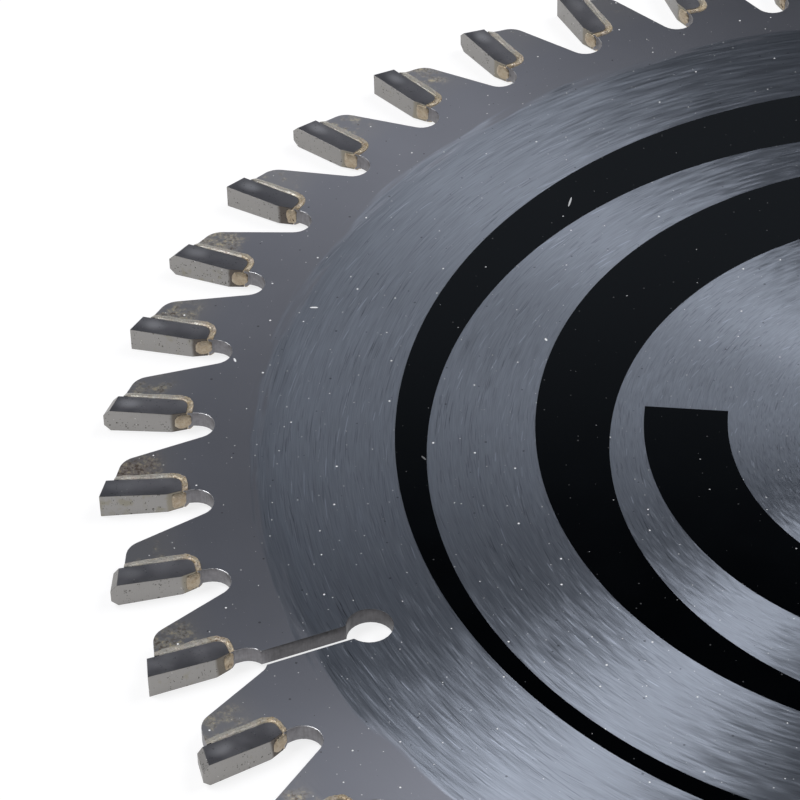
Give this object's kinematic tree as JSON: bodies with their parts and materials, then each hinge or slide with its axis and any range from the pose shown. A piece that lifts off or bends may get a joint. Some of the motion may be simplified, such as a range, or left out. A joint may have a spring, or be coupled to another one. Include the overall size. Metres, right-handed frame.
{
  "type": "circular saw blade",
  "caption": "Carbide-tipped circular saw blade: a flat toothed steel disc with a central arbor bore, expansion slots and triple-chip tips brazed into pockets.",
  "frame": {"origin": "centre of the arbor bore, halfway through the plate's thickness", "axes": "+Z along the arbor; seen from +Z the teeth cut counter-clockwise; +X through the cutting edge of a flat tip"},
  "size_m": [0.1598, 0.1596, 0.0024],
  "materials": {
    "plate": "ground, circular-brushed and clear lacquered, with printed black rings",
    "carbide": "ground tungsten carbide, satin, slightly pitted"
  },
  "bodies": {
    "root": {"blade_plate": "plate", "carbide_tip_01": "carbide", "carbide_tip_02": "carbide", "carbide_tip_03": "carbide", "carbide_tip_04": "carbide", "carbide_tip_05": "carbide", "carbide_tip_06": "carbide", "carbide_tip_07": "carbide", "carbide_tip_08": "carbide", "carbide_tip_09": "carbide", "carbide_tip_10": "carbide", "carbide_tip_11": "carbide", "carbide_tip_12": "carbide", "carbide_tip_13": "carbide", "carbide_tip_14": "carbide", "carbide_tip_15": "carbide", "carbide_tip_16": "carbide", "carbide_tip_17": "carbide", "carbide_tip_18": "carbide", "carbide_tip_19": "carbide", "carbide_tip_20": "carbide", "carbide_tip_21": "carbide", "carbide_tip_22": "carbide", "carbide_tip_23": "carbide", "carbide_tip_24": "carbide", "carbide_tip_25": "carbide", "carbide_tip_26": "carbide", "carbide_tip_27": "carbide", "carbide_tip_28": "carbide", "carbide_tip_29": "carbide", "carbide_tip_30": "carbide", "carbide_tip_31": "carbide", "carbide_tip_32": "carbide", "carbide_tip_33": "carbide", "carbide_tip_34": "carbide", "carbide_tip_35": "carbide", "carbide_tip_36": "carbide", "carbide_tip_37": "carbide", "carbide_tip_38": "carbide", "carbide_tip_39": "carbide", "carbide_tip_40": "carbide", "carbide_tip_41": "carbide", "carbide_tip_42": "carbide"}
  },
  "joints": []
}
